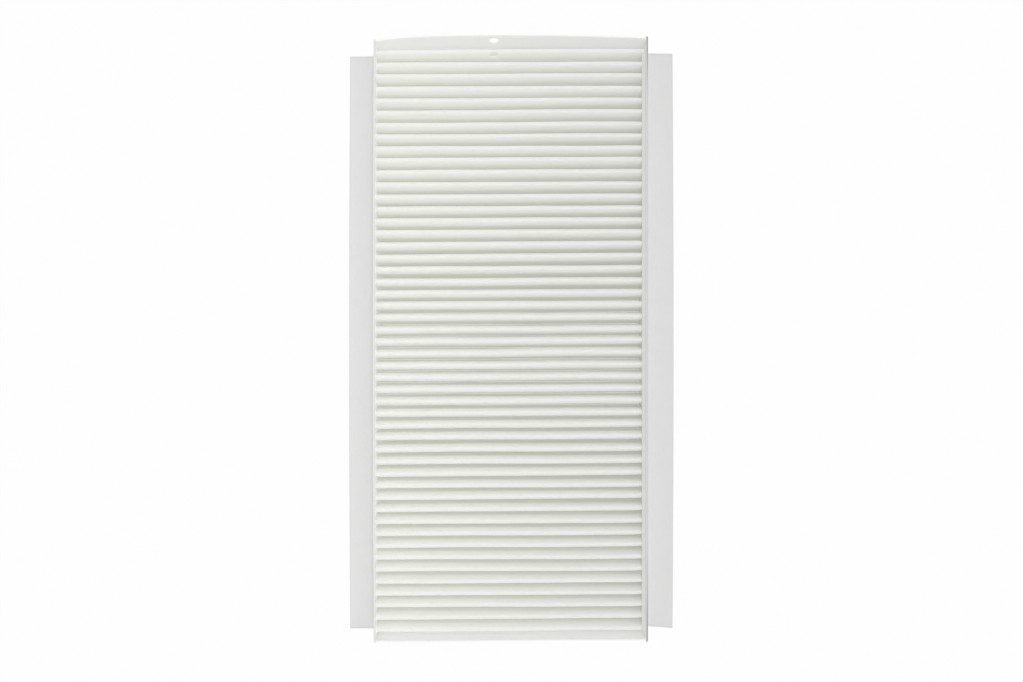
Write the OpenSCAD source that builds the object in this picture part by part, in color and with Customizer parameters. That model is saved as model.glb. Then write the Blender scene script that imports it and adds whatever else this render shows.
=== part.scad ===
// Cabin air filter: one pleated sheet of filter cloth between two folded side bands.
// Origin: middle of the footprint, on the face that the flanges lie in. +Y runs along the
// filter, across the pleats, towards the end with the punched hole; +Z points to the open face.

/* [Pleats] */
// Length of each fold, from one glue film to the other
pack_w = 134.5; // [90:0.5:200]
// Number of folds on the flange face
folds = 50; // [12:1:60]
// Distance from one fold to the next
pitch = 6; // [5:0.1:9]
// Depth of the pleats, from fold to fold
pleat_h = 30; // [22:0.5:40]
// Thickness of the filter cloth
cloth_t = 0.6; // [0.3:0.05:0.8]
// Radius of a fold, to the middle of the cloth
fold_r = 0.9; // [0.6:0.05:1.1]
// Straight pieces in each half-round fold
fold_steps = 4; // [3:1:10]

/* [End leaves] */
// Lean of the last leaf at each end, from upright, in degrees
end_lean = 3.7; // [1:0.1:7]
// How far the first crest leans out after the +Y end leaf
first_out = 0.6; // [0:0.1:1]
// Height where the +Y end leaf starts to curl outward
flare_from = 3; // [2:0.5:8]
// Outward curl of its free edge at the furthest point
flare_out = 3; // [1.5:0.1:6]
// Distance of that furthest point from mid-width, towards -X
flare_off = 15; // [0:1:25]
// Outward curl of the free edge at the left band
flare_left = 0.6; // [0.2:0.1:1.5]
// Outward curl of the free edge at the right band
flare_right = 1.3; // [0.2:0.1:1.5]
// How late the curl comes, as a power of the height
flare_power = 2.5; // [1.5:0.1:4]
// How late the free edge falls back to the left, as a power of the way there
bow_left = 3.6; // [2:0.1:6]
// How late the free edge falls back to the right
bow_right = 2.4; // [2:0.1:6]
// Strips across the curled leaf
leaf_columns = 12; // [8:2:30]
// Strips up the curled leaf
leaf_rows = 6; // [4:1:12]

/* [Punched hole] */
// Diameter of the hole through the first leaves
hole_d = 4.7; // [2:0.1:6]
// Distance of the hole from mid-width, towards -X
hole_off = 8.4; // [0:0.1:40]
// Depth of the hole's centre below the free edge of the end leaf
hole_down = 3.8; // [3.5:0.1:8]
// Rise of the hole from the end leaf inward, in degrees
hole_rise = 9; // [0:0.5:10]
// Number of leaves that the hole passes
hole_leaves = 3; // [1:2:5]

/* [Side bands] */
// Thickness of the stiff felt of the bands
band_t = 1.2; // [0.8:0.1:2]
// How far a band stands above the crests
band_over = 0; // [0:0.1:2]
// Width of a flange, from the outer face of its band
flange_w = 16.8; // [8:0.1:30]
// Inner radius of the fold between band and flange
bend_r = 0.6; // [0.3:0.1:1.5]
// How far the left band runs past the pleats at each end
left_past = 0.8; // [0:0.1:4]
// Shift of the left band towards -Y
left_shift = 0.2; // [0:0.1:1.5]
// How far the right band runs past the pleats at each end
right_past = 1.3; // [0:0.1:4]
// Shift of the right band towards +Y
right_shift = 0.9; // [0:0.1:1.5]
// Length that the oblique cut adds along the right flange's outer edge
skew_cut = 0.6; // [0:0.1:3]

/* [Glue] */
// Thickness of the hot-melt film between pleats and band
glue_t = 0.3; // [0.1:0.05:0.6]
// Clear strip between the film and the band's top edge
glue_down = 0.8; // [0.2:0.1:3]
// Clear strip between the film and the end of the pleats
glue_in = 1.5; // [0.5:0.1:5]

/* [Hidden] */
$fn = 48;

pack_len = folds * pitch;
first_fold = (pack_len - pitch) / 2;
half = cloth_t / 2;
fold_z = fold_r + half;
crest_z = pleat_h - fold_z;
leaf_rise = crest_z - fold_z;

film_x = pack_w / 2;
band_x = film_x + glue_t;
band_h = pleat_h + band_over;
bend_out = bend_r + band_t;
left_len = pack_len + 2 * left_past;
right_len = pack_len + 2 * right_past;
film_z = bend_out;
film_h = pleat_h - glue_down - film_z;

// One side of a half-round fold: from its +Y flank to its -Y flank, over or under its centre
function fold_arc(y, z, r, over, lean_in, lean_out) = [
    for (i = [0:fold_steps])
        let (a = lean_in + (180 - lean_in - lean_out) * i / fold_steps)
            [y + r * cos(a), z + over * r * sin(a)]
];

// Places along Y of lower fold k and of the crest after it
function low_y(k) = first_fold - k * pitch;
function crest_y(k) = low_y(k) - pitch / 2 + (k == 0 ? first_out : 0);

// Lean of a leaf from the side of one fold to the near side of the next, a distance dy away
function leaf_lean(dy) = atan(dy / leaf_rise) - asin(2 * fold_r / norm([dy, leaf_rise]));

// Lean of the leaf that enters lower fold k, and of the one that leaves it
function lean_before(k) = k == 0 ? end_lean : leaf_lean(crest_y(k - 1) - low_y(k));
function lean_after(k) = k == folds - 1 ? end_lean : leaf_lean(low_y(k) - crest_y(k));

// A point on an end leaf's face at height z, seen from its fold: r is the face's radius there
function leaf_y(z, r) = r / cos(end_lean) + (z - fold_z) * tan(end_lean);

// One face of the cloth from the +Y end to the -Y end; lift is +half for the upper face
function face_line(lift) = concat(
    [[first_fold + leaf_y(flare_from, fold_r - lift), flare_from]],
    [
        for (k = [0:folds - 1])
            for (p = concat(
                fold_arc(low_y(k), fold_z, fold_r - lift, -1, lean_before(k), lean_after(k)),
                k < folds - 1
                    ? fold_arc(crest_y(k), crest_z, fold_r + lift, 1, lean_after(k), lean_before(k + 1))
                    : []
            ))
                p
    ],
    [[-first_fold - leaf_y(pleat_h, fold_r - lift), pleat_h]]
);

function backward(list) = [for (i = [len(list) - 1:-1:0]) list[i]];

// Outward curl of the +Y leaf at place x and height z
function curl(x, z) =
    let (
        left = pow(max(0, -(x + flare_off) / (pack_w / 2 - flare_off)), bow_left),
        right = pow(max(0, (x + flare_off) / (pack_w / 2 + flare_off)), bow_right),
        edge = flare_out - (flare_out - flare_left) * left - (flare_out - flare_right) * right
    )
        edge * pow((z - flare_from) / (pleat_h - flare_from), flare_power);

// Row j, column i of the curled leaf, on its inner (r small) or outer face
function curled_point(i, j, r) =
    let (
        x = pack_w * (i / leaf_columns - 0.5),
        z = flare_from + (pleat_h - flare_from) * j / leaf_rows
    )
        [x, first_fold + leaf_y(z, r) + curl(x, z), z];

module curled_leaf() {
    across = leaf_columns + 1;
    sheet = across * (leaf_rows + 1);
    points = [
        for (r = [fold_r - half, fold_r + half], j = [0:leaf_rows], i = [0:leaf_columns])
            curled_point(i, j, r)
    ];
    inner = [
        for (j = [0:leaf_rows - 1], i = [0:leaf_columns - 1])
            let (a = j * across + i)
                each [[a, a + across, a + 1], [a + 1, a + across, a + across + 1]]
    ];
    outer = [for (f = inner) [f[0] + sheet, f[2] + sheet, f[1] + sheet]];
    ends = [
        for (i = [0, leaf_columns], j = [0:leaf_rows - 1])
            let (a = j * across + i, b = a + across)
                i == 0 ? [a, a + sheet, b + sheet, b] : [a, b, b + sheet, a + sheet]
    ];
    edges = [
        for (j = [0, leaf_rows], i = [0:leaf_columns - 1])
            let (a = j * across + i, b = a + 1)
                j == 0 ? [a, b, b + sheet, a + sheet] : [b, a, a + sheet, b + sheet]
    ];
    polyhedron(points, concat(inner, outer, ends, edges));
}

module pleats() {
    rotate([90, 0, 90])
        linear_extrude(pack_w, center = true)
            polygon(concat(face_line(half), backward(face_line(-half))));
}

// Punched square to the curled leaf, so it rises inward; it stops over the fold behind its last leaf
module punched_hole() {
    z = pleat_h - hole_down;
    y = first_fold + leaf_y(z, fold_r) + curl(-hole_off, z);
    stop = first_fold - pitch * (hole_leaves - 1) / 2;
    lead = pitch / 2;
    translate([-hole_off, y, z])
        rotate([90 - hole_rise, 0, 0])
            translate([0, 0, -lead])
                cylinder(h = lead + (y - stop) / cos(hole_rise), d = hole_d);
}

module media_pack() {
    color([0.93, 0.93, 0.9])
        difference() {
            union() {
                pleats();
                curled_leaf();
            }
            punched_hole();
        }
}

// Section of the standing band and its fold, with the inner face at x = 0
module web_section() {
    translate([0, bend_out])
        square([band_t, band_h - bend_out]);
    translate([bend_out, bend_out])
        intersection() {
            difference() {
                circle(bend_out);
                circle(bend_r);
            }
            translate([-bend_out, -bend_out])
                square(bend_out);
        }
}

// One folded strip: its flange lies towards +X, and skew lengthens the -Y end of its outer edge
module side_band(length, skew) {
    end = length / 2;
    edge = band_t + flange_w;
    rotate([90, 0, 0])
        linear_extrude(length, center = true)
            web_section();
    linear_extrude(band_t)
        polygon([[bend_out, -end], [edge, -end - skew], [edge, end], [bend_out, end]]);
}

module left_side_band() {
    color([0.94, 0.94, 0.93])
        mirror([1, 0, 0])
            translate([band_x, -left_shift, 0])
                side_band(left_len, 0);
}

// The blank of this band was cut oblique at its -Y end
module right_side_band() {
    color([0.94, 0.94, 0.93])
        translate([band_x, right_shift, 0])
            side_band(right_len, skew_cut);
}

module glue_film() {
    translate([film_x, -pack_len / 2 + glue_in, film_z])
        cube([glue_t, pack_len - 2 * glue_in, film_h]);
}

module left_glue_film() {
    color([0.96, 0.96, 0.9])
        mirror([1, 0, 0])
            glue_film();
}

module right_glue_film() {
    color([0.96, 0.96, 0.9])
        glue_film();
}

media_pack();
left_side_band();
right_side_band();
left_glue_film();
right_glue_film();
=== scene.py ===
import math
import random

import bmesh
import bpy
import numpy as np
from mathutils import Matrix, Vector


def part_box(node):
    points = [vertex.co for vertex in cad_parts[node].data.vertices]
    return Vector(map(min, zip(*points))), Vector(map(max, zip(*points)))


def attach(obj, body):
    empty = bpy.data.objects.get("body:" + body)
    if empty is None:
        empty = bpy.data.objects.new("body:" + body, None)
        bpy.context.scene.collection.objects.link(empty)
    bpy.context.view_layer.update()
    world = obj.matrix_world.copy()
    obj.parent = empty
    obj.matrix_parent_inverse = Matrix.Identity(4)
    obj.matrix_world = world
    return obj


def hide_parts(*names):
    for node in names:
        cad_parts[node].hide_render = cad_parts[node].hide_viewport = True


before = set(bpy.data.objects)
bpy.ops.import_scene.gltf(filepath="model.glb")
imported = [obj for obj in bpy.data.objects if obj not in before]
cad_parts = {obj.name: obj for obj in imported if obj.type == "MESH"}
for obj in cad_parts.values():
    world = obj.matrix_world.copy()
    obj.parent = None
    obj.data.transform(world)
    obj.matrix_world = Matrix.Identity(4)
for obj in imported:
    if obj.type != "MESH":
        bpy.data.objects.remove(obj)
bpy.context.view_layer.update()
mm = 0.001
print("frame loaded")


# The whole filter: how it has settled, shared by every piece so that they stay seated on each other
body = {
    "height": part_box("media_pack")[1][2],
    "halfLength": 0.150,
    "bulgeLeft": 0.30 * mm,      # sides bow out at mid-length
    "bulgeRight": 0.10 * mm,
    "rollLeft": 0.12 * mm,       # top edges roll inward near the ends
    "rollRight": 0.10 * mm,
    "rollFrom": 0.66,            # share of the height where the roll starts
    "rollReachTop": 18 * mm,     # how far the roll reaches from the +Y end
    "rollReachBottom": 30 * mm,
    "bellyLeft": 0.6 * mm,       # the sides belly out below the roll, most of all at the ends
    "bellyRight": 0.7 * mm,
    "bellyMiddle": 0.38,         # how much of that is left at mid-length
    "shortRight": 1.6 * mm,      # on the right the crests end short of the band, and glue fills in
    "shortReach": 7 * mm,
    "sagRight": 0.9 * mm,        # and they sag towards it
}


def sidePlace(x):
    # 0 at the middle of the filter, 1 from the pleat ends outwards
    return np.clip(np.abs(x) / (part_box("media_pack")[1][0]), 0, 1)


def endCloseness(y):
    top = np.exp(-((body["halfLength"] - y) / body["rollReachTop"]).clip(0) ** 2)
    bottom = np.exp(-((body["halfLength"] + y) / body["rollReachBottom"]).clip(0) ** 2)
    return top + bottom


def settle(points):
    x, y, z = points[:, 0].copy(), points[:, 1], points[:, 2]
    up = np.clip(z / body["height"], 0, 1)
    along = np.clip(y / body["halfLength"], -1, 1)
    right = x > 0
    nearEnd = endCloseness(y)
    bulge = np.where(right, body["bulgeRight"], body["bulgeLeft"]) * (1 - along ** 2)
    roll = np.where(right, body["rollRight"], body["rollLeft"]) * nearEnd
    curl = roll * (np.clip(up - body["rollFrom"], 0, 1) / (1 - body["rollFrom"])) ** 1.6
    swell = body["bellyMiddle"] + (1 - body["bellyMiddle"]) * nearEnd.clip(0, 1)
    belly = np.where(right, body["bellyRight"], body["bellyLeft"]) * swell * np.sin(math.pi * up ** 1.9) ** 1.3
    moved = points.copy()
    moved[:, 0] = x + np.sign(x) * sidePlace(x) ** 3 * (bulge + belly - curl)
    return moved


def shortOfBand(y, z):
    # how far the right ends of the leaves stop short; the end leaves do reach the band
    s = np.clip((z / body["height"] - 0.25) / 0.65, 0, 1)
    inside = np.clip((body["halfLength"] - 3 * mm - np.abs(y)) / (3 * mm), 0, 1)
    return body["shortRight"] * s * s * (3 - 2 * s) * inside


def pullIn(points):
    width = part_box("media_pack")[1][0]
    near = np.clip((points[:, 0] - width + body["shortReach"]) / body["shortReach"], 0, 1)
    short = shortOfBand(points[:, 1], points[:, 2])
    points[:, 0] -= short * near ** 2
    points[:, 2] -= body["sagRight"] * short / body["shortRight"] * near ** 2
    return points


# Mesh helpers
def makeObject(name, points, faces, sharpAngle=40):
    mesh = bpy.data.meshes.new(name)
    mesh.from_pydata([tuple(p) for p in points], [], faces)
    piece = bpy.data.objects.new(name, mesh)
    bpy.context.scene.collection.objects.link(piece)
    cleanUp(piece, sharpAngle)
    return piece


def cleanUp(piece, sharpAngle):
    work = bmesh.new()
    work.from_mesh(piece.data)
    bmesh.ops.recalc_face_normals(work, faces=work.faces)
    work.to_mesh(piece.data)
    work.free()
    for face in piece.data.polygons:
        face.use_smooth = True
    piece.data.set_sharp_from_angle(angle=math.radians(sharpAngle))


def gridFaces(rows, columns, first=0, flip=False):
    faces = []
    for j in range(rows - 1):
        for i in range(columns - 1):
            a = first + j * columns + i
            face = (a, a + 1, a + columns + 1, a + columns)
            faces.append(face[::-1] if flip else face)
    return faces


def closedSheetFaces(rows, columns):
    # two grids of the same size, one above the other, joined all round
    low = rows * columns
    faces = gridFaces(rows, columns) + gridFaces(rows, columns, low, flip=True)
    for j in range(rows - 1):
        for i in (0, columns - 1):
            a, b = j * columns + i, (j + 1) * columns + i
            faces.append((a, b, b + low, a + low))
    for i in range(columns - 1):
        for j in (0, rows - 1):
            a, b = j * columns + i, j * columns + i + 1
            faces.append((a, b, b + low, a + low))
    return faces


# The pleated cloth
pleats = {
    "folds": 50,
    "pitch": 6 * mm,
    "gather": 1.0035,            # the folds sit a little wider than even
    "shift": 0.17 * mm,
    "thickness": 0.6 * mm,
    "lowRadius": 0.45 * mm,
    "topRadius": 0.6 * mm,
    "flank": 20,                 # degrees; a crest passes into its leaf before it is upright
    "shoulder": 0.68 * mm,       # and the leaf swells out below it
    "shoulderDown": 5 * mm,
    "endLean": 3.7,              # degrees
    "skew": 0.0064,              # the folds run slightly askew, in metres per metre
    "wander": 0.13 * mm,         # each fold line strays from straight by about this
    "heightWander": 0.10 * mm,
    "leafBow": 0.13 * mm,        # a leaf is never quite flat
    "lowSteps": 5,
    "topSteps": 6,
    "leafPlaces": (0.05, 0.13, 0.24, 0.42, 0.7),     # rows on a leaf, as shares of the way down from its crest
    "columnStep": 4.2 * mm,
    "curlMiddle": 3.0 * mm,      # outward curl of the +Y leaf's free edge
    "curlPower": 2.5,
    "curlFrom": 3 * mm,
    "curlPeakX": -15 * mm,
    "curlDropLeft": 2.45 * mm,
    "curlDropRight": 1.75 * mm,
    "firstCrestOut": 0.75 * mm,
    "seed": 11,
}
hole = {
    "diameter": 4.9 * mm,
    "x": -8.4 * mm,
    "down": 3.8 * mm,
    "rise": 11,                  # degrees
    "stopBelowCrest": 1.5,       # pitches from the first lower fold
}


def clothColumns():
    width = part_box("media_pack")[1][0]
    count = round(2 * width / pleats["columnStep"])
    xs = set(np.round(np.linspace(-width, width, count + 1), 6))
    xs = {x for x in xs if abs(x - hole["x"]) > 4.4 * mm or abs(x) == width}
    xs |= set(np.round(np.linspace(hole["x"] - 4 * mm, hole["x"] + 4 * mm, 9), 6))
    return np.array(sorted(xs))


def foldLines(count, amount, rng, carry=0.45):
    # smooth random lines, each a little like its neighbour
    lines, last = [], None
    for _ in range(count):
        waves = np.array([rng.gauss(0, 1) for _ in range(7)])
        last = waves if last is None else carry * last + math.sqrt(1 - carry ** 2) * waves
        lines.append(last * amount)
    return lines


def lineAt(wave, xs):
    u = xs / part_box("media_pack")[1][0]
    return (
        0.8 * wave[0]
        + 0.8 * wave[1] * np.sin(1.6 * u + wave[2])
        + 0.5 * wave[3] * np.sin(4.1 * u + 2 * wave[4])
        + 0.25 * wave[5] * np.sin(8.3 * u + 3 * wave[6])
    )


def gathered(y):
    # keeps the first and last folds in place, where the end leaves hold them
    held = (abs(y) / (pleats["folds"] * pleats["pitch"] / 2)) ** 30
    return y * (pleats["gather"] * (1 - held) + held) + pleats["shift"] * (1 - held)


def foldCentres(xs):
    rng = random.Random(pleats["seed"])
    half = pleats["thickness"] / 2
    first = (pleats["folds"] - 1) * pleats["pitch"] / 2
    lowY = foldLines(pleats["folds"], pleats["wander"], rng)
    topY = foldLines(pleats["folds"] - 1, pleats["wander"], rng)
    topZ = foldLines(pleats["folds"] - 1, pleats["heightWander"], rng)
    skew = pleats["skew"] * xs
    lows, tops = [], []
    for k in range(pleats["folds"]):
        y = gathered(first - k * pleats["pitch"]) + skew + 0.7 * lineAt(lowY[k], xs)
        lows.append((y, np.full_like(xs, pleats["lowRadius"] + half)))
    for k in range(pleats["folds"] - 1):
        y = gathered(first - (k + 0.5) * pleats["pitch"]) + skew + lineAt(topY[k], xs)
        # the middle rows swing out together on the right
        y = y + 0.22 * mm * np.exp(-((xs - 40 * mm) / (18 * mm)) ** 2 - ((k - 26) / 4) ** 2)
        if k == 0:
            y = y + pleats["firstCrestOut"] * (1 - 0.4 * np.abs(xs / xs[-1]) ** 2)
        z = body["height"] - pleats["topRadius"] - half - np.abs(lineAt(topZ[k], xs))
        tops.append((y, z))
    return lows, tops


def leafLean(low, top, away):
    # lean of a leaf from upright, where away is +1 if the crest lies towards +Y of the lower fold
    dy, dz = (top[0] - low[0]) * away, top[1] - low[1]
    return np.arctan2(dy, dz) - np.arcsin((pleats["lowRadius"] + pleats["topRadius"]) / np.hypot(dy, dz))


def curlOut(xs, z):
    # how far the +Y leaf has curled outward
    left = ((pleats["curlPeakX"] - xs) / (xs[-1] + pleats["curlPeakX"])).clip(0) ** 3.6
    right = ((xs - pleats["curlPeakX"]) / (xs[-1] - pleats["curlPeakX"])).clip(0) ** 2.4
    edge = pleats["curlMiddle"] - pleats["curlDropLeft"] * left - pleats["curlDropRight"] * right
    up = ((z - pleats["curlFrom"]) / (body["height"] - pleats["curlFrom"])).clip(0)
    return edge * up ** pleats["curlPower"]


def clothPath(xs):
    # rows of (y, z) at the middle of the cloth, from the +Y free edge to the -Y one, one value per column
    r, rTop, lean = pleats["lowRadius"], pleats["topRadius"], math.radians(pleats["endLean"])
    flank = math.radians(pleats["flank"])
    lows, tops = foldCentres(xs)
    rng = random.Random(pleats["seed"] + 1)
    rows = []

    def arc(centre, radius, start, end, steps):
        for i in range(steps + 1):
            a = start + (end - start) * i / steps
            rows.append((centre[0] + radius * np.cos(a), centre[1] + radius * np.sin(a)))

    def leaf(crest, low, away):
        # rows between the foot of a crest and the top of a lower fold; away is the side of the crest it is on
        bow = pleats["leafBow"] * rng.gauss(0, 1)
        tilt, turn = rng.gauss(0, 0.7), rng.uniform(0, 6)
        swell = bow * (1 + tilt * np.sin(2.3 * xs / xs[-1] + turn))
        found = []
        for s in pleats["leafPlaces"]:
            down = s * body["height"] / pleats["shoulderDown"]
            out = away * pleats["shoulder"] * down * math.exp(1 - down)
            found.append((
                crest[0] + (low[0] - crest[0]) * s + swell * math.sin(math.pi * s) + out,
                crest[1] + (low[1] - crest[1]) * s,
            ))
        rows.extend(found if away < 0 else found[::-1])

    def endLeaf(low, away, heights):
        for z in heights:
            y = low[0] + away * (r / math.cos(lean) + (z - low[1]) * math.tan(lean))
            if away > 0:
                y = y + curlOut(xs, np.full_like(xs, z)) - 0.2 * mm * (z / body["height"]) * np.abs(xs / xs[-1])
            rows.append((y, np.full_like(xs, z)))

    heights = np.linspace(body["height"], 2 * mm, 29)
    endLeaf(lows[0], 1, heights)
    for k in range(pleats["folds"]):
        before = leafLean(lows[k], tops[k - 1], 1) if k else np.full_like(xs, lean)
        after = leafLean(lows[k], tops[k], -1) if k < pleats["folds"] - 1 else np.full_like(xs, lean)
        arc(lows[k], r, -before, after - math.pi, pleats["lowSteps"])
        if k < pleats["folds"] - 1:
            following = leafLean(lows[k + 1], tops[k], 1)
            start = lows[k][0] - r * np.cos(after), lows[k][1] - r * np.sin(after)
            end = tops[k][0] + rTop * np.cos(after + flank), tops[k][1] + rTop * np.sin(after + flank)
            leaf(end, start, 1)
            arc(tops[k], rTop, after + flank, math.pi - following - flank, pleats["topSteps"])
            start = tops[k][0] - rTop * np.cos(following + flank), tops[k][1] + rTop * np.sin(following + flank)
            end = lows[k + 1][0] + r * np.cos(following), lows[k + 1][1] - r * np.sin(following)
            leaf(start, end, -1)
    endLeaf(lows[-1], -1, heights[::-1][::4])
    return np.array([np.stack(row) for row in rows])          # rows x (y, z) x columns


def makeCloth():
    xs = clothColumns()
    path = clothPath(xs)
    # the cloth's own normal, across the path; the pack runs towards -Y, so this points to the open face
    step = np.gradient(path, axis=0)
    length = np.hypot(step[:, 0], step[:, 1])
    normal = np.stack([step[:, 1], -step[:, 0]], axis=1) / length[:, None]
    half = pleats["thickness"] / 2
    sheets = []
    for lift in (half, -half):
        y, z = path[:, 0] + lift * normal[:, 0], path[:, 1] + lift * normal[:, 1]
        z = z.clip(0, body["height"])
        sheets.append(np.stack([np.broadcast_to(xs, y.shape), y, z], axis=-1).reshape(-1, 3))
    points = settle(pullIn(np.concatenate(sheets)))
    piece = makeObject("pleated_cloth", points, closedSheetFaces(len(path), len(xs)), 50)
    punchHole(piece)
    # the size of the flat sheet, along the path and across it
    middle = path[:, :, len(xs) // 2]
    flatLength = float(np.hypot(*np.diff(middle, axis=0).T).sum())
    return piece, (2 * float(xs[-1]), flatLength)


def punchHole(piece):
    r = pleats["lowRadius"]
    first = (pleats["folds"] - 1) * pleats["pitch"] / 2
    z = body["height"] - hole["down"]
    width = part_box("media_pack")[1][0]
    curl = curlOut(np.array([-width, hole["x"], width]), np.full(3, z))[1]
    y = first + r + (z - 1.1 * mm) * math.tan(math.radians(pleats["endLean"])) + curl
    stop = first - hole["stopBelowCrest"] * pleats["pitch"] + 3 * mm
    rise = math.radians(hole["rise"])
    into = Vector((0, -math.cos(rise), math.sin(rise)))
    start = Vector((hole["x"], y, z)) - into * 3 * mm
    length = 3 * mm + (y - stop) / math.cos(rise)
    across, upward = Vector((1, 0, 0)), into.cross(Vector((1, 0, 0)))
    sides = 40
    points, faces = [], []
    for end in (start, start + into * length):
        for i in range(sides):
            a = 2 * math.pi * i / sides
            points.append(end + (across * math.cos(a) + upward * math.sin(a)) * hole["diameter"] / 2)
    for i in range(sides):
        j = (i + 1) % sides
        faces.append((i, j, j + sides, i + sides))
    faces += [tuple(range(sides))[::-1], tuple(range(sides, 2 * sides))]
    cutter = makeObject("punch", points, faces)
    cut = piece.modifiers.new("punched", "BOOLEAN")
    cut.operation, cut.object, cut.solver = "DIFFERENCE", cutter, "EXACT"
    graph = bpy.context.evaluated_depsgraph_get()
    mesh = bpy.data.meshes.new_from_object(piece.evaluated_get(graph))
    piece.modifiers.clear()
    piece.data = mesh
    mesh.name = piece.name
    bpy.data.objects.remove(cutter)
    mesh.set_sharp_from_angle(angle=math.radians(50))


# The side bands
bands = {
    "thickness": 1.2 * mm,
    "bendRadius": 0.6 * mm,
    "innerX": 67.55 * mm,
    "flange": 16.8 * mm,
    "ends": {"left": (-151.0 * mm, 150.6 * mm), "right": (-150.5 * mm, 152.2 * mm)},
    "flangeEnds": {"left": ((0, 0), (0, -0.1 * mm)), "right": ((0.9 * mm, 0), (-0.2 * mm, -0.2 * mm))},
    "edgeBow": {"left": 0.27 * mm, "right": 0.5 * mm},      # the flange's outer edge bows out at mid-length
    "edgeIn": {"left": 0.90 * mm, "right": 0.35 * mm},      # and stays short of its full width at the ends
    "pressed": 0.06,             # how much thinner the strip is along its top edge
    "pressedDown": 5 * mm,
    "lipDown": 3.2 * mm,         # painted shade on the lip below the outer top edge: how far below the top edge, and how high
    "lipHalf": 2.2 * mm,
    # painted shade on the right band's outer lip, more near the ends than along the middle
    "lipShadeEnds": {"left": 0.0, "right": 0.22},
    "lipShadeMiddle": {"left": 0.0, "right": 0.08},
    "topEdgeLightAndShade": {"left": (-0.10, -0.10, 0), "right": (0.04, 0.34, 0.8)},     # painted highlight (below zero) and painted shade (above zero) on the very top edge: inner side, outer side, more at the ends
    "paintedShadeGrey": {"left": (0.15, -0.02), "right": (0.10, 0.11)},   # painted shade on the flange, from the fold to the outer edge; a value below zero is painted light
    "lift": 0.35 * mm,           # the flange never lies quite flat
    "creases": {"left": ((6.4 * mm, 0.10 * mm),), "right": ((5.4 * mm, 0.12 * mm), (7.0 * mm, 0.10 * mm))},
    "edgeRound": 0.16 * mm,
    "stations": 150,
    "seed": 5,
}


def bandSection():
    # middle line of the strip, as (distance from the inner face, height, normal) from the top edge to the flange's edge
    t, inner = bands["thickness"], bands["bendRadius"]
    centre, r = inner + t, inner + t / 2
    rows = []
    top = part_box("left_side_band")[1][2]
    for z in np.linspace(top, centre, 26):
        rows.append((t / 2, z, 1, 0))
    for a in np.linspace(0, math.pi / 2, 9)[1:]:
        rows.append((centre - r * math.cos(a), centre - r * math.sin(a), math.cos(a), math.sin(a)))
    folded = np.linspace(centre, t + 9 * mm, 34)[1:]
    plain = np.linspace(t + 9 * mm, t + bands["flange"], 12)[1:]
    for d in (*folded, *plain, t + bands["flange"] - bands["edgeRound"]):
        rows.append((d, t / 2, 0, 1))
    rows.sort(key=lambda row: (row[0] > centre, row[0] if row[0] > centre else 0))
    return rows


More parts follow.
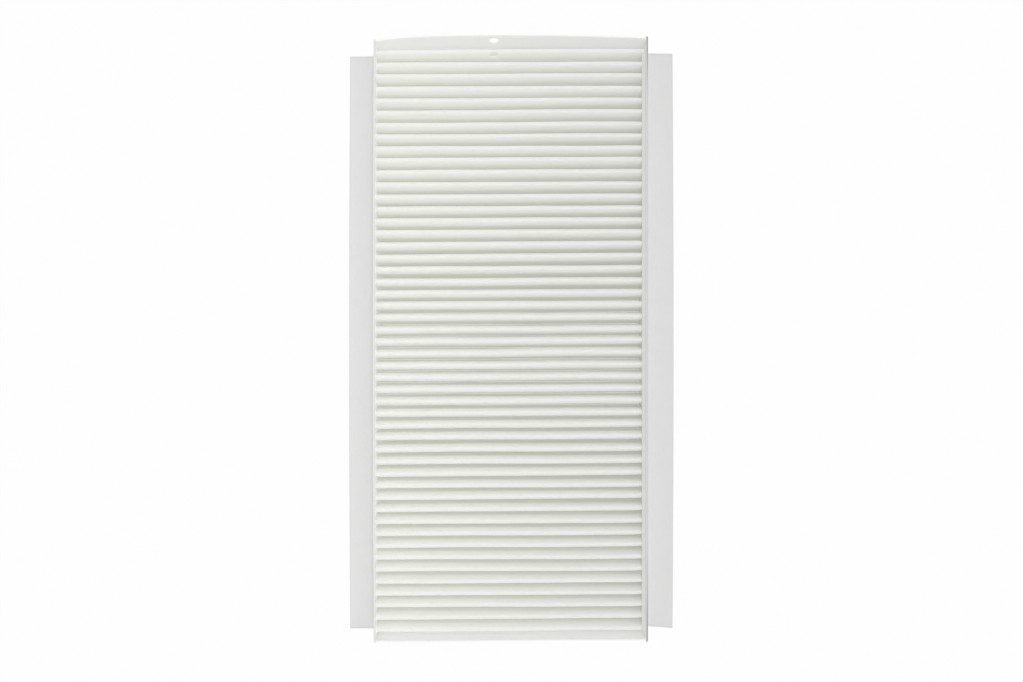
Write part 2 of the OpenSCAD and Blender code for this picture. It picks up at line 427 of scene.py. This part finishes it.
def makeBand(side):
    right = side > 0
    name = "right" if right else "left"
    low, high = bands["ends"][name]
    atBend, atEdge = bands["flangeEnds"][name]
    rng = random.Random(bands["seed"] + right)
    phases = [rng.uniform(0, 6.28) for _ in range(8)]
    rows = bandSection()
    e, t = bands["edgeRound"], bands["thickness"]
    full, top = t + bands["flange"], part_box("left_side_band")[1][2]
    inset = 2 * e / (high - low)
    ys = np.array(sorted(set(np.linspace(-1, 1, bands["stations"])) | {f * (1 - inset * g) for f in (-1, 1) for g in (0.3, 1)}))
    endThin = 1 - 0.35 * np.clip(1 - (1 - np.abs(ys)) / inset, 0, 1) ** 2
    up, down = (ys.clip(0, 1), -ys.clip(-1, 0))
    outer, inner = [], []
    for d, z, nx, nz in rows:
        out = max(0.0, (d - t) / bands["flange"])
        low1 = 1 - min(1.0, z / (12 * mm))                # 1 at the fold, 0 up the web
        endLow = low1 * atBend[0] + out * (atEdge[0] - atBend[0])
        endHigh = low1 * atBend[1] + out * (atEdge[1] - atBend[1])
        y = (low + high) / 2 + ys * (high - low) / 2 + down ** 8 * endLow + up ** 8 * endHigh
        press = bands["pressed"] * math.exp(-((top - z) / bands["pressedDown"]) ** 2)
        thin = endThin * (1 - 0.3 * math.exp(-((full - d) / e) ** 2)) * (1 - 0.25 * math.exp(-((top - z) / e) ** 2))
        bow = out * (bands["edgeBow"][name] * (1 - ys ** 2) - bands["edgeIn"][name])
        rise = out ** 1.5 * bands["lift"] * (
            0.5 + 0.28 * np.sin(5.1 * ys + phases[0]) + 0.18 * np.sin(11.3 * ys + phases[1])
        ).clip(0.02)
        crease = sum(h * math.exp(-((d - t - at) / (0.4 * mm)) ** 2) for at, h in bands["creases"][name])
        for sheet, lift in ((outer, t / 2), (inner, -t / 2)):
            # on the web the normal points outward, on the flange upward
            across = nx * lift * thin - (nx * press * t if lift > 0 else 0)
            x = side * (bands["innerX"] + d + bow + across)
            zz = z + nz * lift * thin + rise + (crease if lift > 0 else 0)
            sheet.append(np.stack([np.broadcast_to(x, y.shape), y, np.broadcast_to(zz, y.shape)], axis=-1))
    points = np.concatenate([np.array(outer).reshape(-1, 3), np.array(inner).reshape(-1, 3)])
    band = makeObject(name + "_band", settle(points), closedSheetFaces(len(rows), len(ys)), 55)
    # painted shade and painted light, carried to the felt as a point attribute: the shaded lip below the top edge, the
    # shade on the flange, and the lit or shaded top edge
    lip = np.exp(-((points[:, 2] - top + bands["lipDown"]) / bands["lipHalf"]) ** 2)
    outside = np.abs(points[:, 0]) > bands["innerX"] + 0.6 * t
    lip *= outside
    amount = bands["lipShadeEnds"][name] * endCloseness(points[:, 1]).clip(0, 1) + bands["lipShadeMiddle"][name]
    out = ((np.abs(points[:, 0]) - bands["innerX"] - t) / bands["flange"]).clip(0, 1)
    # painted shade on the flange: darker at the fold beside the band, and on the right flange all over
    nearFold, nearEdge = bands["paintedShadeGrey"][name]
    paintedShadeAndLight = np.where(points[:, 2] < 2.5 * mm, nearFold + (nearEdge - nearFold) * out, lip * amount)
    # the top edge: painted highlight on the left band, painted shade on the right band's outer side, more at the ends
    inTop, outTop, atEnds = bands["topEdgeLightAndShade"][name]
    outTop = outTop + atEnds * endCloseness(points[:, 1]).clip(0, 1)
    paintedShadeAndLight = np.where(points[:, 2] > top - 0.8 * mm, np.where(outside, outTop, inTop), paintedShadeAndLight)
    band.data.attributes.new("paintedShadeAndLight", "FLOAT", "POINT").data.foreach_set("value", paintedShadeAndLight.astype(np.float32))
    return band


# The hot-melt film
film = {
    "thickness": 0.3 * mm,
    "edgeWave": 0.35 * mm,       # its rolled-on edges wander
    "stations": 130,
    "levels": 10,
    "seed": 23,
}


def makeFilm(side):
    node = "right_glue_film" if side > 0 else "left_glue_film"
    low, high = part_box(node)
    rng = random.Random(film["seed"] + side)
    phases = [rng.uniform(0, 6.28) for _ in range(4)]
    ys = np.linspace(low[1], high[1], film["stations"])
    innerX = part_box("media_pack")[1][0]
    wave = film["edgeWave"] * (0.6 * np.sin(ys * 310 + phases[0]) + 0.4 * np.sin(ys * 830 + phases[1]))
    sheets = []
    for depth in (0.02 * mm, film["thickness"] - 0.02 * mm):
        rows = []
        for j in range(film["levels"]):
            s = j / (film["levels"] - 1)
            z = low[2] + (high[2] - low[2]) * s + wave * (2 * s - 1)
            inward = shortOfBand(ys, z) if side > 0 and depth < film["thickness"] / 2 else 0
            rows.append(np.stack([side * (innerX + depth) - inward + 0 * ys, ys, z], axis=-1))
        sheets.append(np.array(rows).reshape(-1, 3))
    points = settle(np.concatenate(sheets))
    name = "right_glue" if side > 0 else "left_glue"
    return makeObject(name, points, closedSheetFaces(film["levels"], film["stations"]), 60)


# Materials
def newMaterial(name):
    material = bpy.data.materials.new(name)
    material.use_nodes = True
    tree = material.node_tree
    tree.nodes.clear()
    return material, tree


def addNode(tree, kind, **inputs):
    node = tree.nodes.new(kind)
    for key, value in inputs.items():
        node.inputs[key.replace("_", " ")].default_value = value
    return node


def noiseOf(tree, place, scale, detail=3.0, roughness=0.6):
    noise = addNode(tree, "ShaderNodeTexNoise", Scale=scale, Detail=detail, Roughness=roughness)
    tree.links.new(place, noise.inputs["Vector"])
    return noise.outputs["Fac"]


def stretched(tree, place, scale, turn):
    mapping = tree.nodes.new("ShaderNodeMapping")
    mapping.inputs["Scale"].default_value = scale
    mapping.inputs["Rotation"].default_value = turn
    tree.links.new(place, mapping.inputs["Vector"])
    return mapping.outputs["Vector"]


def combine(tree, kind, a, b):
    node = tree.nodes.new("ShaderNodeMath")
    node.operation = kind
    for socket, value in zip(node.inputs, (a, b)):
        if isinstance(value, (int, float)):
            socket.default_value = value
        else:
            tree.links.new(value, socket)
    return node.outputs[0]


def spread(tree, value, low, high, toLow=0.0, toHigh=1.0):
    node = tree.nodes.new("ShaderNodeMapRange")
    tree.links.new(value, node.inputs["Value"])
    for key, number in (("From Min", low), ("From Max", high), ("To Min", toLow), ("To Max", toHigh)):
        node.inputs[key].default_value = number
    return node.outputs["Result"]


def mixColour(tree, share, a, b):
    node = tree.nodes.new("ShaderNodeMix")
    node.data_type = "RGBA"
    tree.links.new(share, node.inputs["Factor"])
    node.inputs["A"].default_value = (*a, 1)
    node.inputs["B"].default_value = (*b, 1)
    return node.outputs["Result"]


def fibreWeb(tree, place, size):
    # random-laid fibres: two layers of streaks that cross, each about size metres wide
    layers = []
    for turn in ((0.3, 0.2, 0.5), (1.1, 0.7, 2.1)):
        streaks = stretched(tree, place, (1.0, 0.22, 1.0), turn)
        layers.append(noiseOf(tree, streaks, 1 / size, 1.0, 0.5))
    return combine(tree, "MAXIMUM", layers[0], layers[1])


clothLook = {
    "light": (0.965, 0.965, 0.972),
    "dark": (0.935, 0.935, 0.94),
    "paintedShadeGrey": (0.82, 0.82, 0.85),  # painted shade: the cloth is painted darker towards the right, where less light falls, and it is also darker on its end leaves
    "through": 0.5,              # share of the light that passes into the cloth
    "throughColour": (0.97, 0.97, 0.965),
    "paintedGlow": 0.125,         # painted glow: the cloth glows faintly, standing in for light that fills the deep valleys
    "fibre": 0.5 * mm,
    "bump": 0.05 * mm,
}


def clothMaterial():
    material, tree = newMaterial("filter_cloth")
    place = tree.nodes.new("ShaderNodeTexCoord").outputs["Object"]
    web = fibreWeb(tree, place, clothLook["fibre"])
    cloud = noiseOf(tree, place, 260, 4, 0.65)
    fuzz = noiseOf(tree, place, 3200, 2, 0.6)
    shade = combine(tree, "ADD", combine(tree, "MULTIPLY", spread(tree, cloud, 0.3, 0.7), 0.55),
                    combine(tree, "MULTIPLY", web, 0.3))
    shade = combine(tree, "ADD", shade, combine(tree, "MULTIPLY", spread(tree, fuzz, 0.3, 0.7), 0.25))
    colour = mixColour(tree, shade, clothLook["dark"], clothLook["light"])
    # painted shade: the cloth darkens from left to right across X in place of light that falls off, and darkens on the
    # end leaves
    across = tree.nodes.new("ShaderNodeSeparateXYZ")
    tree.links.new(place, across.inputs[0])
    towardsEnd = spread(tree, combine(tree, "ABSOLUTE", across.outputs["Y"], 0), 0.1485, 0.1495, 0, 0.5)
    share = combine(tree, "ADD", spread(tree, across.outputs["X"], -0.07, 0.07, 0, 0.70), towardsEnd)
    paintedShadeGrey = mixColour(tree, share, clothLook["light"], clothLook["paintedShadeGrey"])
    tree.links.new(colour, paintedShadeGrey.node.inputs["A"])
    height = combine(tree, "ADD", web, combine(tree, "MULTIPLY", fuzz, 0.8))
    bump = addNode(tree, "ShaderNodeBump", Strength=0.6, Distance=clothLook["bump"])
    tree.links.new(height, bump.inputs["Height"])
    surface = addNode(tree, "ShaderNodeBsdfPrincipled", Roughness=0.92)
    surface.inputs["Specular IOR Level"].default_value = 0.2
    surface.inputs["Sheen Weight"].default_value = 0.08
    surface.inputs["Sheen Roughness"].default_value = 0.6
    surface.inputs["Emission Color"].default_value = (1, 1.01, 0.85, 1)
    surface.inputs["Emission Strength"].default_value = clothLook["paintedGlow"]
    tree.links.new(paintedShadeGrey, surface.inputs["Base Color"])
    tree.links.new(bump.outputs["Normal"], surface.inputs["Normal"])
    through = tree.nodes.new("ShaderNodeBsdfTranslucent")
    through.inputs["Color"].default_value = (*clothLook["throughColour"], 1)
    mix = tree.nodes.new("ShaderNodeMixShader")
    mix.inputs[0].default_value = clothLook["through"]
    tree.links.new(surface.outputs[0], mix.inputs[1])
    tree.links.new(through.outputs[0], mix.inputs[2])
    output = tree.nodes.new("ShaderNodeOutputMaterial")
    tree.links.new(mix.outputs[0], output.inputs["Surface"])
    return material


feltLook = {
    "light": (0.945, 0.945, 0.94),
    "dark": (0.915, 0.915, 0.91),
    "paintedShadeAndLight": (0.30, 0.30, 0.31),  # painted shade: the dark grey put on the lip, the flange and the top edge where shade falls
    # painted glow: a faint glow standing in for light
    "paintedGlow": 0.02,
    "fibre": 0.4 * mm,
    "bump": 0.09 * mm,
}


def feltMaterial():
    material, tree = newMaterial("band_felt")
    place = tree.nodes.new("ShaderNodeTexCoord").outputs["Object"]
    web = fibreWeb(tree, place, feltLook["fibre"])
    cloud = noiseOf(tree, place, 120, 4, 0.6)
    fuzz = noiseOf(tree, place, 4200, 2, 0.6)
    shade = combine(tree, "ADD", combine(tree, "MULTIPLY", spread(tree, cloud, 0.3, 0.7), 0.6),
                    combine(tree, "MULTIPLY", web, 0.25))
    shade = combine(tree, "ADD", shade, combine(tree, "MULTIPLY", spread(tree, fuzz, 0.3, 0.7), 0.2))
    clean = mixColour(tree, shade, feltLook["dark"], feltLook["light"])
    paintedShadeAndLight = tree.nodes.new("ShaderNodeAttribute")
    paintedShadeAndLight.attribute_name = "paintedShadeAndLight"
    colour = mixColour(tree, paintedShadeAndLight.outputs["Fac"], feltLook["dark"], feltLook["paintedShadeAndLight"])
    colour.node.clamp_factor = False          # below zero the felt is painted lighter than its mean, as painted light
    tree.links.new(clean, colour.node.inputs["A"])
    height = combine(tree, "ADD", web, fuzz)
    bump = addNode(tree, "ShaderNodeBump", Strength=0.7, Distance=feltLook["bump"])
    tree.links.new(height, bump.inputs["Height"])
    surface = addNode(tree, "ShaderNodeBsdfPrincipled", Roughness=0.85)
    surface.inputs["Specular IOR Level"].default_value = 0.25
    surface.inputs["Sheen Weight"].default_value = 0.05
    surface.inputs["Emission Color"].default_value = (1, 1, 1, 1)
    surface.inputs["Emission Strength"].default_value = feltLook["paintedGlow"]
    tree.links.new(colour, surface.inputs["Base Color"])
    tree.links.new(bump.outputs["Normal"], surface.inputs["Normal"])
    output = tree.nodes.new("ShaderNodeOutputMaterial")
    tree.links.new(surface.outputs[0], output.inputs["Surface"])
    return material


glueLook = {
    "light": (0.95, 0.95, 0.935),
    "dark": (0.92, 0.92, 0.90),
    "right": (0.62, 0.62, 0.61),  # painted shade: the film is painted darker towards the right too
    # painted glow: the film glows faintly, standing in for light near the band
    "paintedGlow": 0.11,
    "bump": 0.06 * mm,
}


def glueMaterial():
    material, tree = newMaterial("hot_melt")
    place = tree.nodes.new("ShaderNodeTexCoord").outputs["Object"]
    ripple = noiseOf(tree, stretched(tree, place, (1.0, 1.0, 0.4), (0, 0, 0)), 700, 3, 0.5)
    clean = mixColour(tree, spread(tree, ripple, 0.3, 0.7), glueLook["dark"], glueLook["light"])
    # painted shade: the film darkens from left to right across X
    across = tree.nodes.new("ShaderNodeSeparateXYZ")
    tree.links.new(place, across.inputs[0])
    colour = mixColour(tree, spread(tree, across.outputs["X"], -0.07, 0.07), glueLook["light"], glueLook["right"])
    tree.links.new(clean, colour.node.inputs["A"])
    bump = addNode(tree, "ShaderNodeBump", Strength=0.7, Distance=glueLook["bump"])
    tree.links.new(ripple, bump.inputs["Height"])
    surface = addNode(tree, "ShaderNodeBsdfPrincipled", Roughness=0.42)
    surface.inputs["Emission Color"].default_value = (1, 1, 0.97, 1)
    surface.inputs["Emission Strength"].default_value = glueLook["paintedGlow"]
    tree.links.new(colour, surface.inputs["Base Color"])
    tree.links.new(bump.outputs["Normal"], surface.inputs["Normal"])
    output = tree.nodes.new("ShaderNodeOutputMaterial")
    tree.links.new(surface.outputs[0], output.inputs["Surface"])
    return material


# Floor, light and camera
studio = {
    "floorColour": (0.82, 0.82, 0.82),
    "floorGlow": 0.97,           # how much of the floor is plain white to the camera
    "skyStrength": 0.44,
    "lampPower": 3.95,           # of each of the two
    "lampSize": (0.30, 0.45),     # across the filter, and along it
    "lampPlaces": ((0.05, 0.45, 1.4), (0.05, -0.45, 1.4)),
    "cameraPlace": (1.15 * mm, -11.6 * mm, 557 * mm),
    "lens": 37.1,
    "imageWidth": 1023,
    "shiftPixels": (-1.5, 23),
}


def makeFloor():
    mesh = bpy.data.meshes.new("floor")
    side, level = 3.0, -0.15 * mm
    mesh.from_pydata([(-side, -side, level), (side, -side, level), (side, side, level), (-side, side, level)], [], [(0, 1, 2, 3)])
    floor = bpy.data.objects.new("floor", mesh)
    bpy.context.scene.collection.objects.link(floor)
    material, tree = newMaterial("floor_white")
    diffuse = tree.nodes.new("ShaderNodeBsdfDiffuse")
    diffuse.inputs["Color"].default_value = (*studio["floorColour"], 1)
    glow = addNode(tree, "ShaderNodeEmission", Strength=1.0)
    rays = tree.nodes.new("ShaderNodeLightPath")
    seen = combine(tree, "MAXIMUM", combine(tree, "MAXIMUM", rays.outputs["Is Camera Ray"], rays.outputs["Is Glossy Ray"]),
                   rays.outputs["Is Transmission Ray"])
    share = combine(tree, "MULTIPLY", seen, studio["floorGlow"])
    mix = tree.nodes.new("ShaderNodeMixShader")
    tree.links.new(share, mix.inputs[0])
    tree.links.new(diffuse.outputs[0], mix.inputs[1])
    tree.links.new(glow.outputs[0], mix.inputs[2])
    output = tree.nodes.new("ShaderNodeOutputMaterial")
    tree.links.new(mix.outputs[0], output.inputs["Surface"])
    mesh.materials.append(material)


def makeSky():
    world = bpy.data.worlds.new("studio")
    bpy.context.scene.world = world
    world.use_nodes = True
    tree = world.node_tree
    tree.nodes.clear()
    rays = tree.nodes.new("ShaderNodeLightPath")
    seen = combine(tree, "MAXIMUM", combine(tree, "MAXIMUM", rays.outputs["Is Camera Ray"], rays.outputs["Is Glossy Ray"]),
                   rays.outputs["Is Transmission Ray"])
    plain = addNode(tree, "ShaderNodeBackground", Strength=studio["skyStrength"])
    white = addNode(tree, "ShaderNodeBackground", Strength=1.0)
    for node in (plain, white):
        node.inputs["Color"].default_value = (1, 1, 1, 1)
    mix = tree.nodes.new("ShaderNodeMixShader")
    tree.links.new(seen, mix.inputs[0])
    tree.links.new(plain.outputs[0], mix.inputs[1])
    tree.links.new(white.outputs[0], mix.inputs[2])
    output = tree.nodes.new("ShaderNodeOutputWorld")
    tree.links.new(mix.outputs[0], output.inputs["Surface"])


def makeLamps():
    for place in studio["lampPlaces"]:
        data = bpy.data.lights.new("softbox", "AREA")
        data.shape, data.energy = "RECTANGLE", studio["lampPower"]
        data.size, data.size_y = studio["lampSize"]
        lamp = bpy.data.objects.new("softbox", data)
        lamp.location = place
        lamp.rotation_euler = (Vector((0, 0, 0)) - lamp.location).to_track_quat("-Z", "Y").to_euler()
        bpy.context.scene.collection.objects.link(lamp)


def makeCamera():
    data = bpy.data.cameras.new("camera")
    data.lens, data.sensor_width = studio["lens"], 36
    data.shift_x, data.shift_y = (p / studio["imageWidth"] for p in studio["shiftPixels"])
    camera = bpy.data.objects.new("camera", data)
    camera.location = studio["cameraPlace"]
    bpy.context.scene.collection.objects.link(camera)
    bpy.context.scene.camera = camera


makeCamera()
makeFloor()
makeSky()
makeLamps()
bpy.context.scene.view_settings.view_transform = "Standard"
print("studio ready")

cloth, clothSize = makeCloth()
cloth.data.materials.append(clothMaterial())
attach(cloth, "root")
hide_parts("media_pack")
print("pleated cloth ready", len(cloth.data.polygons), "faces, flat size", clothSize)

felt = feltMaterial()
for side, node in ((-1, "left_side_band"), (1, "right_side_band")):
    band = makeBand(side)
    band.data.materials.append(felt)
    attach(band, "root")
    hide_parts(node)
print("side bands ready")

glue = glueMaterial()
for side, node in ((-1, "left_glue_film"), (1, "right_glue_film")):
    strip = makeFilm(side)
    strip.data.materials.append(glue)
    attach(strip, "root")
    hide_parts(node)
print("glue films ready")
